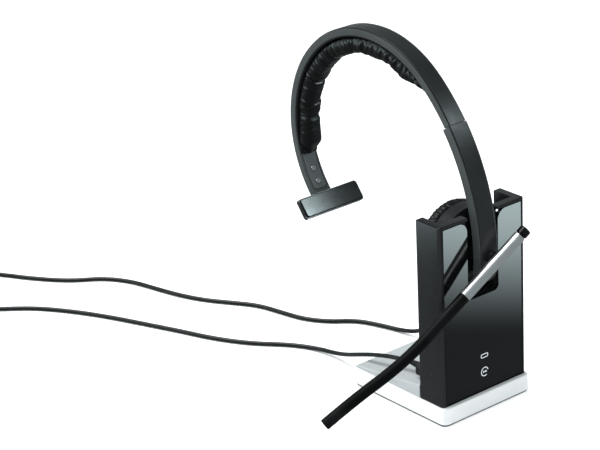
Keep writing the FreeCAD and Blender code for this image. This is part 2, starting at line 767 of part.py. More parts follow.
def arm_trim(inset):
    """Rounds the arm's lower end."""
    low = cup_z - arm_drop
    upper = block((-20, 20), (front - 30, front + 200), (low, low + 200))
    return upper.fuse(rod(V(0, front - 30, low), Y_AXIS, arm_width / 2 - inset, 100))


def make_arm():
    start, end = seam_phi + seam_gap, arm_foot_phi
    inlay_width = arm_width - 2 * inlay_margin
    frame = arch_bar(start, end, lip_depth, arm_thickness, arm_width)
    frame = frame.makeFillet(0.7, long_edges(frame, arm_width, arm_thickness))
    frame = frame.common(arm_trim(0))
    recess = arch_bar(start - 1, end + 1, lip_depth - 1, slot_depth - 0.1, inlay_width)
    frame = frame.cut(recess)
    seat_bottom = slot_depth + 0.2 + slider_thickness
    seat = arch_bar(start - 1, slider_foot_phi, slot_depth - 0.2, seat_bottom, slider_width)
    frame = frame.cut(seat)
    inlay = arch_bar(start, end - 1, -0.1, inlay_depth, inlay_width - 2 * inlay_gap)
    inlay = inlay.makeFillet(0.5, long_edges(inlay, inlay_width - 2 * inlay_gap, -0.1))
    inlay = inlay.common(arm_trim(inlay_margin + inlay_gap))
    bore = rod(V(0, front - 20, cup_z), Y_AXIS, spindle_radius + pin_gap, 20 - 1.6)
    stud_seat = rod(V(0, front + stud_y, cup_z), Y_AXIS, 2.0, 3.0)
    save("arm_outer_shell", inlay.cut(bore))
    save("arm_frame", frame.cut(bore).cut(stud_seat))
    foot = rod(V(0, front + stud_y, cup_z), Y_AXIS, 2.0, 1.3)
    neck = rod(V(0, front + stud_y + 1.0, cup_z), Y_AXIS, 1.0, ball_y - stud_y - 1.5)
    ball = Part.makeSphere(ball_radius, V(0, front + ball_y, cup_z))
    save("cup_ball_stud", foot.fuse([neck, ball]).removeSplitter())

    foot = slider_foot_phi - 0.1
    save("slider_strip", arch_bar(slider_tip_phi, foot, slot_depth + 0.2, seat_bottom, slider_width - 0.6))


def travel_phi(length):
    """Angle that a length along the arm's arc takes up."""
    return degrees(length / arch_radii[-1])


slider_tip_phi = seam_phi - travel_phi(slider_travel + slider_hold)
slider_foot_phi = seam_phi + travel_phi(30.0)


# ---- headset: band ------------------------------------------------------------------------
plate_start, plate_end = -18.5, -37.5
plate_screw_phis = (-26.6, -33.6)
pad_phis = (-17.5, 133.0)


def end_plate(extra, top):
    """Small plate let into the inside of the band's free end, or with extra, the seat for it."""
    plate = arch_bar(plate_end - extra, plate_start, top, band_thickness + 0.01, plate_width + extra * 2)
    corners = [e for e in plate.Edges if abs(e.Vertexes[0].X - e.Vertexes[-1].X) < 1e-3
               and e.Length < 1.5 and phi_of(e.Vertexes[0].Point, 0) < plate_end + 1]
    return plate.makeFillet(2.0, corners)


def make_band():
    start, end = band_end_phi, seam_phi
    inlay_width = strap_width - 2 * inlay_margin
    hollow_bottom = slot_depth + 0.2 + slider_thickness + slider_gap
    frame = arch_bar(start, end, lip_depth, band_thickness, strap_width)
    frame = frame.makeFillet(0.6, long_edges(frame, strap_width, band_thickness))
    frame = frame.cut(arch_bar(start + 1.2, end + 1, lip_depth - 1, slot_depth - 0.1, inlay_width))
    frame = frame.cut(arch_bar(-9.0, end + 1, slot_depth - 0.2, hollow_bottom, slider_width + 0.4))
    frame = frame.cut(end_plate(0.4, band_thickness - 0.9))
    inlay = arch_bar(start + 1.4, end, 0.0, inlay_depth, inlay_width - 2 * inlay_gap)
    inlay = inlay.makeFillet(0.5, long_edges(inlay, inlay_width - 2 * inlay_gap, 0.0))
    spring_top = slot_depth + 0.2
    spring = arch_bar(-8.0, slider_tip_phi - 4.0, spring_top, spring_top + 0.7, slider_width - 0.6)
    plate = end_plate(0.0, band_thickness - 0.8)
    screws = []
    for phi in plate_screw_phis:
        inward = -arch_normal(phi)
        seat = arch_point(phi, band_thickness - 0.1)
        shank = rod(arch_point(phi, 2.4), inward, 0.8, 3.4)
        head = rod(seat, inward, screw_head_radius, 0.7)
        rim = edges_along(head, lambda e: e.Length > 6 and (e.CenterOfMass - seat).Length > 0.5)
        head = head.makeFillet(0.35, rim)
        screw = shank.fuse(head).removeSplitter()
        frame = frame.cut(shank)
        plate = plate.cut(rod(arch_point(phi, 2.4), inward, 0.8, 5.0))
        plate = plate.cut(rod(seat, inward, screw_head_radius + 0.01, 2.0))
        screws.append(screw.cut(rod(arch_point(phi, band_thickness + 0.1), inward, 0.8, 2.0)))
    save("headband_cover", inlay)
    save("headband_frame", frame)
    save("headband_spring", spring)
    save("end_plate", plate)
    save("end_screws", *screws)
    pad_top = band_thickness + 0.8
    first, last = pad_phis
    save("pad_carrier", arch_bar(first, last, band_thickness, pad_top, strap_width - 1.4))
    save("head_pad", arch_strip((first, last, pad_top), (first + 8.5, last - 11, pad_depth), pad_width))


# ---- headset: temple pad ------------------------------------------------------------------
def temple_frame():
    """Middle of the temple pad's inner face, its outward normal and its upward direction."""
    turn = radians(temple_tilt)
    middle = V(0, front + temple_y, cup_z + temple_z)
    return middle, V(0, cos(turn), sin(turn)), V(0, -sin(turn), cos(turn))


temple_pivot_depth = 1.05


def temple_slab(low, high, inset):
    """Plate between two distances from the inner face, along the normal."""
    middle, normal, upward = temple_frame()
    origin = middle + normal * low
    place = lambda u, v: origin + X_AXIS * u + upward * v
    half, tall = temple_length / 2 - inset, temple_height / 2 - inset
    wire = outline(rectangle((-half, half), (-tall, tall), temple_corner), place)
    return prism(wire, normal * (high - low))


def temple_pivot():
    middle, normal = temple_frame()[:2]
    return middle + normal * (temple_thickness - temple_pivot_depth)


def make_temple():
    middle, normal = temple_frame()[:2]
    pivot = temple_pivot()
    plate = temple_slab(temple_pad_thickness, temple_thickness, 0.0)
    pin_length = 12.0
    lug_radius, lug_width, room = 1.7, 6.0, 0.9
    pocket = temple_box(pivot, lug_width / 2 + 0.3, lug_radius + room, lug_radius + 0.35, 6.0)
    plate = plate.cut(pocket)
    pin_start = pivot - X_AXIS * (pin_length / 2)
    plate = plate.cut(rod(pin_start - X_AXIS * 0.2, X_AXIS, temple_pin_radius + pin_gap, pin_length + 0.4))
    save("temple_plate", plate)
    pad = temple_slab(0.0, temple_pad_thickness, 0.6)
    pad_edges = [e for e in pad.Edges if abs((e.CenterOfMass - middle).dot(normal)) < 1e-4]
    save("temple_pad", pad.makeFillet(0.5, pad_edges).cut(pocket))
    save("temple_pin", rod(pin_start, X_AXIS, temple_pin_radius, pin_length))
    lug = rod(pivot - X_AXIS * (lug_width / 2), X_AXIS, lug_radius, lug_width)
    web = temple_box(pivot, lug_width / 2, lug_radius * 0.8, 0.0, 4.0)
    bracket = lug.fuse(web).cut(arch_bar(-60.0, -20.0, lip_depth, band_thickness, strap_width + 10))
    joined = [solid for solid in bracket.Solids if solid.distToShape(lug)[0] < 0.01]
    bracket = max(joined, key=lambda solid: solid.Volume)
    save("temple_bracket", bracket.cut(rod(pin_start, X_AXIS, temple_pin_radius, pin_length)))


def temple_box(centre, half_x, half_up, back, ahead):
    """Box about a point, square to the temple pad: back against the normal, ahead along it."""
    middle, normal, upward = temple_frame()
    origin = centre - normal * back
    place = lambda u, v: origin + X_AXIS * u + upward * v
    wire = outline(rectangle((-half_x, half_x), (-half_up, half_up), 0), place)
    return prism(wire, normal * (back + ahead))


# ---- headset: boom ------------------------------------------------------------------------
def boom_point(reach):
    """Point on the boom's middle line, at a distance from the ear cup's axis."""
    run = radians(boom_angle)
    start = boom_bend_start
    y = -boom_offset + boom_slope * min(reach, start)
    if reach > start:
        y += bend_rise(reach - start)
    return V(-reach * cos(run), front + y, cup_z - reach * sin(run))


def bend_rise(beyond):
    """Gain towards +Y over the bent end, whose slope grows from boom_slope to boom_bend_slope."""
    full = boom_reach - boom_bend_start
    share = min(beyond / full, 1.0)
    return boom_slope * beyond + (boom_bend_slope - boom_slope) * full * (share ** 1.5) / 1.5


def boom_direction(reach):
    step = boom_point(reach + 0.01) - boom_point(reach - 0.01)
    return step.normalize()


def boom_tube(path, radius):
    """Round bar along a list of edges that share their tangents."""
    wire = Part.Wire(path)
    first = path[0]
    start = first.valueAt(first.FirstParameter)
    circle = Part.Wire(Part.makeCircle(radius, start, first.tangentAt(first.FirstParameter)))
    return wire.makePipeShell([circle], True, False)


def boom_arc(start, direction, end):
    """Arc from start, along direction, to end."""
    chord = end - start
    along = V(direction).normalize()
    side = chord - along * chord.dot(along)
    bend = side.Length
    radius = chord.Length ** 2 / (2 * bend)
    centre = start + side.normalize() * radius
    out = ((start - centre) + (end - centre)).normalize()
    return Part.Arc(start, centre + out * radius, end).toShape()


def closed(edge):
    return len(edge.Vertexes) == 1


def rounded_end(bar, end, radius):
    """Rounds the rim of a bar's end face, whose middle is given."""
    rim = edges_along(bar, lambda e: closed(e) and (e.CenterOfMass - end).Length < 0.1)
    return bar.makeFillet(radius, rim)


def make_boom():
    upper, lower = boom_point(-tube_short), boom_point(tube_long)
    along = (lower - upper).normalize()
    length = (lower - upper).Length
    tube = rod(upper, along, tube_radius, length)
    tube = tube.makeFillet(0.3, edges_along(tube, closed))
    tube = tube.cut(rod(upper - along, along, tube_bore, length + 2))
    save("boom_tube", tube)

    start = lower - along * 8.0
    bend = boom_point(boom_bend_start)
    knee = boom_point((boom_bend_start + boom_reach) / 2)
    neck = rod(start, along, tube_bore - 0.05, 8.0)
    first = Part.LineSegment(lower, bend).toShape()
    second = boom_arc(bend, bend - lower, knee)
    turn = second.tangentAt(second.LastParameter)
    tip_start = boom_point(boom_reach) - boom_direction(boom_reach - 1) * tip_length
    third = boom_arc(knee, turn, tip_start)
    leave = third.tangentAt(third.LastParameter)
    arm = boom_tube([first, second, third], boom_radius)
    save("boom_arm", neck.fuse(arm).removeSplitter())

    tip = rod(tip_start, leave, boom_radius, tip_length)
    tip_end = tip_start + leave * tip_length
    tip = rounded_end(tip, tip_end, 0.6)
    capsule = rod(tip_start + leave * 2.0, leave, 2.0, 2.2)
    inward = (Y_AXIS - leave * Y_AXIS.dot(leave)).normalize()
    tip = tip.cut(rod(tip_start + leave * 2.0, leave, 2.05, 2.25))
    tip = tip.cut(rod(tip_start + leave * 5.0, inward, 0.5, 5.0))
    tip = tip.cut(rod(tip_start + leave * 4.2, leave, 0.6, 1.2))
    save("microphone_tip", tip)
    save("microphone_capsule", capsule)

    disc_back = -arm_reach - 0.15 - hub_gap - 0.7
    disc_front = -boom_offset + tube_radius
    disc = rod(V(0, front + disc_front - 0.2, cup_z), Y_AXIS, hub_radius, disc_back - disc_front + 0.2)
    disc = rounded_end(disc, V(0, front + disc_front - 0.2, cup_z), 0.9)
    neck = rod(V(0, front - boom_offset, cup_z), Y_AXIS, hub_radius - 0.9, tube_radius + 0.5)
    spindle = rod(V(0, front + disc_back - 0.1, cup_z), Y_AXIS, spindle_radius, -1.9 - disc_back + 0.1)
    hub = disc.fuse([neck, spindle]).cut(rod(upper, along, tube_radius, length))
    hub = max(hub.Solids, key=lambda s: s.Volume)
    save("boom_hub", hub.removeSplitter())

    gap = button_travel + 0.3
    cap_start = upper - along * gap
    cap = rod(cap_start, -along, tube_radius - 0.05, button_length)
    cap = rounded_end(cap, cap_start - along * button_length, 0.7)
    plunger = rod(cap_start - along * 0.5, along, tube_bore - 0.06, gap + 4.0)
    save("mute_button", cap.fuse(plunger).removeSplitter())
    seat = rod(upper + along * (4.0 + button_travel + 0.4), along, tube_bore - 0.02, 2.6)
    save("mute_switch", seat)


os.makedirs("parts", exist_ok=True)
make_base()
make_deck()
make_tower()
make_pocket()
make_electronics()
make_cords()
make_cup()
make_arm()
make_band()
make_temple()
make_boom()
print("ear cup axis z %.2f, front y %.2f" % (cup_z, front))
print("arm arc centre y %.3f z %.3f, radius %.1f, travel %.2f deg"
      % (ARCH[-1][0], ARCH[-1][1], arch_radii[-1], travel_phi(slider_travel)))
print("temple pivot", temple_pivot())
print("boom axis direction", boom_direction(0.0))
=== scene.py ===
"""Looks of the office headset in its charging dock. Metres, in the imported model's own frame."""
from math import atan2, cos, pi, radians, sin

import bmesh
import bpy
from mathutils import Matrix, Vector, noise


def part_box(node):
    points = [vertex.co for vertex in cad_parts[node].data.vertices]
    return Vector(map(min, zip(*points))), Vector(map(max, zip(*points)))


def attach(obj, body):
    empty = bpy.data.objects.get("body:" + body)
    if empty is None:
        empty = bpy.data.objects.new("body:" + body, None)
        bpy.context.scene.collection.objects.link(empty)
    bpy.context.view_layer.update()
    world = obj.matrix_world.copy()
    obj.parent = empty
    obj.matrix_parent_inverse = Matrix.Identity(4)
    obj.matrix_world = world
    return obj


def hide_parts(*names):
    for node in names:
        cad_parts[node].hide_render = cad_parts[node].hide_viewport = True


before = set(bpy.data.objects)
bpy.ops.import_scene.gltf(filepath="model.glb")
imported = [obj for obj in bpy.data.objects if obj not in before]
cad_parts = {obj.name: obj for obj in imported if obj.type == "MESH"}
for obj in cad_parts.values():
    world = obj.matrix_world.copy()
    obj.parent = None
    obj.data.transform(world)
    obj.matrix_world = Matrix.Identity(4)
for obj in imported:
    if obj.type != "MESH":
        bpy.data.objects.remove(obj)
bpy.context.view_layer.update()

MM = 0.001
front_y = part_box("front_panel")[0][1]
base_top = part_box("base_housing")[1][2]
cup_low, cup_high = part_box("cup_housing")
cup_axis_z = (cup_low[2] + cup_high[2]) / 2


# ---- camera -------------------------------------------------------------------------------
camera_azimuth, camera_elevation, camera_roll = radians(-38.564), radians(22.9), radians(-2.844)
camera_distance = 1.159855
camera_target = Vector((-0.128878, front_y, base_top + 0.141921))
camera_lens = 135.56


def make_camera():
    back = Vector((sin(camera_azimuth) * cos(camera_elevation),
                   -cos(camera_azimuth) * cos(camera_elevation), sin(camera_elevation)))
    right = back.cross(Vector((0, 0, -1))).normalized()
    up = back.cross(right)
    rolled = right * cos(camera_roll) + up * sin(camera_roll)
    up = up * cos(camera_roll) - right * sin(camera_roll)
    data = bpy.data.cameras.new("camera")
    data.lens = camera_lens
    data.sensor_width = 36.0
    data.clip_start = 0.01
    camera = bpy.data.objects.new("camera", data)
    turn = Matrix((rolled, up, back)).transposed().to_4x4()
    camera.matrix_world = Matrix.Translation(camera_target + back * camera_distance) @ turn
    bpy.context.scene.collection.objects.link(camera)
    bpy.context.scene.camera = camera


make_camera()


# ---- cords --------------------------------------------------------------------------------
cord_diameter = 2.6 * MM
coil_radius = 15.6 * MM
coil_points = 16
coil_pitch = 2.64 * MM      # from one turn to the next, sideways
coil_row = 2.28 * MM        # and upwards
# the slots of the coil's section, (column, row), in the order that the cord fills them
coil_slots = [(1, 0), (0, 0), (-1, 0), (-1, 1), (-1, 2), (-1, 3),
              (0, 3), (1, 3), (1, 2), (0, 2), (0, 1), (1, 1)]

usb_route = [
    (-21.5, 1.75, 23.0),
    (-22.3, 9.6, 22.4),
    (-23.6, 19.0, 21.3),
    (-25.0, 31.0, 18.6),
    (-24.6, 44.0, 14.0),
    (-22.0, 58.0, 8.0),
    (-19.6, 72.0, 3.2),
    (-20.4, 88.0, 1.3),
    (-29.5, 105.0, 1.3),
    (-44.0, 121.0, 1.3),
    (-56.5, 143.0, 1.3),
    (-65.5, 168.0, 1.3),
    (-75.5, 193.0, 1.3),
    (-86.0, 219.0, 1.3),
    (-98.5, 243.0, 1.3),
    (-111.5, 262.0, 1.3),
    (-128.6, 277.1, 1.3),
]

line_route = [
    (21.5, 1.75, 23.0),
    (21.8, 11.0, 22.6),
    (24.0, 22.0, 21.6),
    (28.0, 35.0, 18.4),
    (32.0, 46.0, 12.0),
    (33.6, 57.0, 4.6),
    (32.4, 70.0, 1.3),
    (28.0, 86.0, 1.3),
    (22.0, 101.0, 1.3),
    (9.5, 111.5, 1.3),
    (0.5, 125.8, 1.3),
    (-3.2, 142.5, 1.3),
    (-7.0, 162.0, 1.3),
    (-17.0, 178.0, 1.3),
    (-26.0, 192.0, 1.3),
    (-33.0, 209.0, 1.3),
    (-38.0, 229.0, 1.3),
    (-42.5, 250.0, 1.3),
    (-53.0, 268.0, 1.3),
    (-70.0, 279.5, 1.3),
    (-85.0, 299.0, 1.3),
    (-98.0, 322.5, 1.3),
]


def smooth(value):
    """0 to 1 with a soft start and end; flat outside that range."""
    value = min(max(value, 0.0), 1.0)
    return value * value * (3 - 2 * value)


def coil_middle(node):
    """Middle of a coil's footprint, on the table."""
    low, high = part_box(node)
    return Vector(((low[0] + high[0]) / 2, (low[1] + high[1]) / 2, 0))


def coil_turns(middle, first):
    """Points round the coil from the angle first to its far side, one slot of the section a turn."""
    last = pi + 2 * pi * (len(coil_slots) - 1)
    count = round((last - first) / (2 * pi) * coil_points)
    points = []
    for i in range(count + 1):
        angle = first + (last - first) * i / count
        done = (angle - first) / (2 * pi)
        slot = min(int(done), len(coil_slots) - 1)
        column, row = coil_slots[slot]
        onward = coil_slots[min(slot + 1, len(coil_slots) - 1)]
        share = smooth((done - slot) * 2.5 - 1.5)
        side = column + 0.25 * (1 if row % 2 else -1)
        onward_side = onward[0] + 0.25 * (1 if onward[1] % 2 else -1)
        radius = coil_radius + coil_pitch * (side + (onward_side - side) * share)
        height = cord_diameter / 2 + coil_row * (row + (onward[1] - row) * share)
        radius *= 2 / (1 + cos(pi / coil_points))
        points.append(middle + Vector((radius * cos(angle), radius * sin(angle), height)))
    return points


def make_cord(name, route, coil_node, first, end, replaced):
    """Cord along its route, round its coil and into the back of its far plug."""
    points = [Vector(p) * MM for p in route] + coil_turns(coil_middle(coil_node), radians(first))
    points.append(Vector((end[0], end[1] + 5 * MM, (points[-1].z + end[2]) / 2)))
    points.append(Vector(end))
    data = bpy.data.curves.new(name, "CURVE")
    data.dimensions = "3D"
    data.bevel_depth = 1.0
    data.bevel_resolution = 5
    data.resolution_u = 6
    data.use_fill_caps = True
    spline = data.splines.new("NURBS")
    spline.points.add(len(points) - 1)
    for item, point in zip(spline.points, points):
        item.co = (*point, 1.0)
        item.radius = cord_diameter / 2
    spline.order_u = 3
    spline.use_endpoint_u = True
    cord = bpy.data.objects.new(name, data)
    bpy.context.scene.collection.objects.link(cord)
    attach(cord, "dock")
    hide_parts(*replaced)
    return cord


def plug_entry(node, height):
    """Middle of the end of a far plug that its cord goes into."""
    low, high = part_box(node)
    return ((low[0] + high[0]) / 2, high[1], height)


usb_cord = make_cord("usb_cord_sheath", usb_route, "usb_cord_coil", 47.0,
                     plug_entry("computer_plug_grip", 4.2 * MM),
                     ["usb_cord", "usb_cord_coil"])
line_cord = make_cord("line_cord_sheath", line_route, "line_cord_coil", 33.0,
                      plug_entry("phone_plug", 3.9 * MM),
                      ["line_cord", "line_cord_coil"])


def make_tie(name, coil_node, angle):
    """Strap round the coil's section that holds its turns together."""
    middle = coil_middle(coil_node)
    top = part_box(coil_node)[1][2]
    half, width, thickness, corner = 5.3 * MM, 6.0 * MM, 0.9 * MM, 2.6 * MM
    around = 40
    along = Vector((-sin(angle), cos(angle), 0))
    outward = Vector((cos(angle), sin(angle), 0))
    mesh = bmesh.new()
    rings = []
    for side in (-0.5, -0.38, 0.38, 0.5):
        grow = 0.0 if abs(side) < 0.45 else -0.25 * thickness
        for reach in (half + thickness + grow, half - grow):
            ring = []
            for i in range(around):
                turn = 2 * pi * i / around
                bulge = max(abs(cos(turn)), abs(sin(turn))) ** 0.72
                u = reach * cos(turn) / bulge
                v = (reach - corner * 0.2) * sin(turn) / bulge
                height = max(top / 2 + v, 0.05 * MM)
                point = middle + outward * (coil_radius + u) + along * (side * width)
                ring.append(mesh.verts.new((point.x, point.y, height)))
            rings.append(ring)
    order = [rings[0], rings[2], rings[4], rings[6], rings[7], rings[5], rings[3], rings[1]]
    for a, b in zip(order, order[1:] + order[:1]):
        for i in range(around):
            j = (i + 1) % around
            mesh.faces.new((a[i], a[j], b[j], b[i]))
    piece = finish_mesh(name, mesh)
    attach(piece, "dock")
    return piece


def finish_mesh(name, mesh, shade=True):
    """Turns a bmesh into a piece with outward normals."""
    bmesh.ops.remove_doubles(mesh, verts=mesh.verts, dist=1e-7)
    bmesh.ops.recalc_face_normals(mesh, faces=mesh.faces)
    data = bpy.data.meshes.new(name)
    mesh.to_mesh(data)
    mesh.free()
    for face in data.polygons:
        face.use_smooth = shade
    piece = bpy.data.objects.new(name, data)
    bpy.context.scene.collection.objects.link(piece)
    return piece


usb_tie = make_tie("usb_coil_tie", "usb_cord_coil", radians(-70))
line_tie = make_tie("line_coil_tie", "line_cord_coil", radians(-70))


# ---- the headband's arch ------------------------------------------------------------------
# Arcs that share their tangents, as the strap has: phi is the angle of the outward normal, with
# 0 at the back and 90 at the top, and depth is measured in from the strap's outer line.
arch_radius = 71.4 * MM
arch_front_radius = 73.3 * MM
arch_turn = radians(90)
cover_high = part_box("headband_cover")[1]
arch_centre = Vector((0, cover_high[1] - arch_radius, cover_high[2] - arch_radius))


def arch_normal(phi):
    """Outward direction of the strap at phi."""
    return Vector((0, cos(phi), sin(phi)))


def arch_point(phi, depth):
    """Point of the strap's middle plane, depth in from its outer line."""
    if phi <= arch_turn:
        return arch_centre + arch_normal(phi) * (arch_radius - depth)
    shifted = arch_centre - Vector((0, 0, arch_front_radius - arch_radius))
    return shifted + arch_normal(phi) * (arch_front_radius - depth)


# ---- head pad -----------------------------------------------------------------------------
pad_first, pad_last = radians(-18.0), radians(133.5)
pad_top, pad_bottom = 5.4 * MM, 14.9 * MM
pad_half = 6.4 * MM
pad_steps, pad_ring = 300, 40
fold_inward, fold_upward, wrinkle_deep, fine_deep = 0.75, 0.85, 0.16, 0.05     # millimetres


def pad_depth(share):
    """Depth of the pad's inner face along its length, thinner towards its two ends."""
    back = smooth(share / 0.055)
    front = smooth((1 - share) / 0.11)
    return pad_top + (pad_bottom - pad_top) * (0.30 + 0.70 * back) * (0.16 + 0.84 * front)


def gathers():
    """(place along the pad, strength, side, reach) of each pulled-in fold, unevenly spaced."""
    folds = []
    place, last_place = 0.155, 0.90
    count = 0
    while place < last_place:
        wobble = noise.noise(Vector((count * 1.7, 3.1, 0)))
        strength = 0.75 + 0.35 * noise.noise(Vector((count * 2.3, 9.0, 0)))
        folds.append((place, strength, count % 3, 0.5 + wobble))
        place += 0.056 + 0.024 * wobble
        count += 1
    return folds


def make_head_pad():
    """Soft leather roll under the strap, gathered into cross folds along its length."""
    folds = gathers()
    mesh = bmesh.new()
    rings = []
    for i in range(pad_steps + 1):
        share = i / pad_steps
        phi = pad_first + (pad_last - pad_first) * share
        bottom = pad_depth(share)
        end = min(smooth(share / 0.02), smooth((1 - share) / 0.03))
        half = pad_half * (0.80 + 0.20 * end)
        ring = []
        for j in range(pad_ring):
            turn = 2 * pi * j / pad_ring
            c, s = cos(turn), sin(turn)
            x = half * (abs(c) ** 0.82) * (1 if c > 0 else -1)
            down = 0.5 - 0.5 * (abs(s) ** 0.88) * (1 if s > 0 else -1)
            pull = 0.0
            for place, strength, side, reach in folds:
                lean = 0.012 * (c if side == 1 else -c if side == 2 else 0.4 * s) * (1 + reach)
                away = (share - place - lean) / (0.0080 + 0.0040 * abs(reach))
                if abs(away) < 3:
                    facing = 1.0 if side == 0 else 0.35 + 0.65 * max(0.0, c if side == 1 else -c)
                    pull += strength * facing * (1 - smooth(abs(away) / 2.2))
            wrinkle = noise.noise(Vector((share * 120, c * 1.6, s * 1.6)))
            fine = noise.noise(Vector((share * 330, c * 3.0 + 7, s * 3.0)))
            cheek = 1.0 - 0.5 * abs(s)
            inset = (fold_inward * pull + wrinkle_deep * wrinkle + fine_deep * fine) * MM * cheek * end
            rolled = x - inset * (1 if c > 0 else -1) * abs(c)
            depth = pad_top + (bottom - pad_top) * down
            low = down ** 1.5
            depth -= (fold_upward * pull + wrinkle_deep * wrinkle + fine_deep * fine) * MM * low * end
            depth = max(depth, pad_top + 0.05 * MM * down)
            point = arch_point(phi, depth)
            ring.append(mesh.verts.new((rolled, point.y, point.z)))
        rings.append(ring)
    for a, b in zip(rings, rings[1:]):
        for j in range(pad_ring):
            k = (j + 1) % pad_ring
            mesh.faces.new((a[j], a[k], b[k], b[j]))
    for ring in (rings[0], rings[-1]):
        middle = sum((v.co for v in ring), Vector()) / pad_ring
        tip = mesh.verts.new(middle)
        for j in range(pad_ring):
            mesh.faces.new((ring[j], ring[(j + 1) % pad_ring], tip))
    return finish_mesh("head_pad_leather", mesh)


cloth_scale = 25.0          # the cloth run moves nothing at the real size, so it works on an enlarged mesh
cloth_frames = 16


def swell(piece, cap, pressure, slack, held):
    """Cloth run on a closed piece: its cover is a little too large for it, is held where held(point)
    is true, and buckles and swells under pressure. No point moves further than cap."""
    start = [v.co.copy() for v in piece.data.vertices]
    pins = piece.vertex_groups.new(name="held")
    pins.add([i for i, point in enumerate(start) if held(point)], 1.0, "REPLACE")
    for vertex in piece.data.vertices:
        vertex.co *= cloth_scale
    cloth_run = piece.modifiers.new("cloth", "CLOTH")
    settings = cloth_run.settings
    settings.quality = 8
    settings.mass = 0.02
    settings.use_pressure = True
    settings.uniform_pressure_force = pressure
    settings.tension_stiffness = 40
    settings.compression_stiffness = 40
    settings.shear_stiffness = 10
    settings.bending_stiffness = 3.0
    settings.shrink_min = -slack
    settings.vertex_group_mass = "held"
    settings.effector_weights.gravity = 0
    cloth_run.collision_settings.use_collision = False
    cloth_run.point_cache.frame_start = 1
    cloth_run.point_cache.frame_end = cloth_frames
    scene = bpy.context.scene
    for step in range(1, cloth_frames + 1):
        scene.frame_set(step)
    graph = bpy.context.evaluated_depsgraph_get()
    swollen = [v.co / cloth_scale for v in piece.evaluated_get(graph).data.vertices]
    piece.modifiers.remove(cloth_run)
    piece.vertex_groups.remove(pins)
    scene.frame_set(1)
    for vertex, before, after in zip(piece.data.vertices, start, swollen):
        move = after - before
        vertex.co = before + move * (cap / max(move.length, cap))


def pad_reach(point):
    """How far a point lies below the pad's strap side."""
    phi = atan2(point.z - arch_centre.z, point.y - arch_centre.y)
    if phi < -pi / 2:
        phi += 2 * pi
    side = arch_point(phi, pad_top)
    return (side - Vector((0, point.y, point.z))).length


head_pad = make_head_pad()
swell(head_pad, 1.4 * MM, 9.0, 0.08, lambda p: pad_reach(p) < 1.2 * MM)
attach(head_pad, "band")
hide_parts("head_pad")


# ---- ear cushion --------------------------------------------------------------------------
cushion_low, cushion_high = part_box("ear_cushion")
cushion_back, cushion_front = cushion_high[1], cushion_low[1]
cushion_thickness = cushion_back - cushion_front
cushion_outer = (cushion_high[2] - cushion_low[2]) / 2
cushion_hole = 11.6 * MM


def make_cushion():
    """Soft ring: a flat, slightly dished face to the ear, a full side and gathered pleats."""
    around, across = 264, 44
    mid = (cushion_outer + cushion_hole) / 2
    half = (cushion_outer - cushion_hole) / 2
    mesh = bmesh.new()
    rings = []
    for i in range(around):
        angle = 2 * pi * i / around
        ring = []
        for j in range(across):
            turn = 2 * pi * j / across
            c, s = cos(turn), sin(turn)
            radial = half * (abs(c) ** 0.75) * (1 if c > 0 else -1)
            rise = 0.5 + 0.5 * (abs(s) ** 0.78) * (1 if s > 0 else -1)
            pleat = noise.noise(Vector((cos(angle) * 9, sin(angle) * 9, 0.4)))
            gather = abs(sin(angle * 26 + 1.6 * pleat)) ** 0.6
            outside = max(0.0, c) ** 1.2
            inside = max(0.0, -c) ** 1.2
            ripple = (1 - gather) * (0.50 * outside + 0.42 * inside)
            wrinkle = noise.noise(Vector((cos(angle) * 22, sin(angle) * 22, c * 1.5 + s)))
            radial -= (1 if c > 0 else -1) * (ripple + 0.18 * wrinkle * abs(c)) * MM
            face = max(0.0, s) ** 2
            rise -= face * (0.035 + 0.02 * wrinkle + 0.03 * (1 - gather) * abs(c))
            radius = mid + radial
            point = (radius * cos(angle), cushion_front + cushion_thickness * rise,
                     cup_axis_z + radius * sin(angle))
            ring.append(mesh.verts.new(point))
        rings.append(ring)
    for i, ring in enumerate(rings):
        following = rings[(i + 1) % around]
        for j in range(across):
            k = (j + 1) % across
            mesh.faces.new((ring[j], ring[k], following[k], following[j]))
    return finish_mesh("ear_cushion_leather", mesh)


def make_cushion_seam():
    """Piping where the cushion's side and face leather are sewn together."""
    around, across = 200, 10
    radius, thick = cushion_outer - 1.5 * MM, 0.42 * MM
    mesh = bmesh.new()
    rings = []
    for i in range(around):
        angle = 2 * pi * i / around
        sway = 0.12 * MM * noise.noise(Vector((cos(angle) * 7, sin(angle) * 7, 2.0)))
        ring = []
        for j in range(across):
            turn = 2 * pi * j / across
            r = radius + sway + thick * cos(turn)
            depth = cushion_back - 1.35 * MM + thick * sin(turn)
            ring.append(mesh.verts.new((r * cos(angle), depth, cup_axis_z + r * sin(angle))))
        rings.append(ring)
    for i, ring in enumerate(rings):
        following = rings[(i + 1) % around]
        for j in range(across):
            k = (j + 1) % across
            mesh.faces.new((ring[j], ring[k], following[k], following[j]))
    return finish_mesh("ear_cushion_piping", mesh)


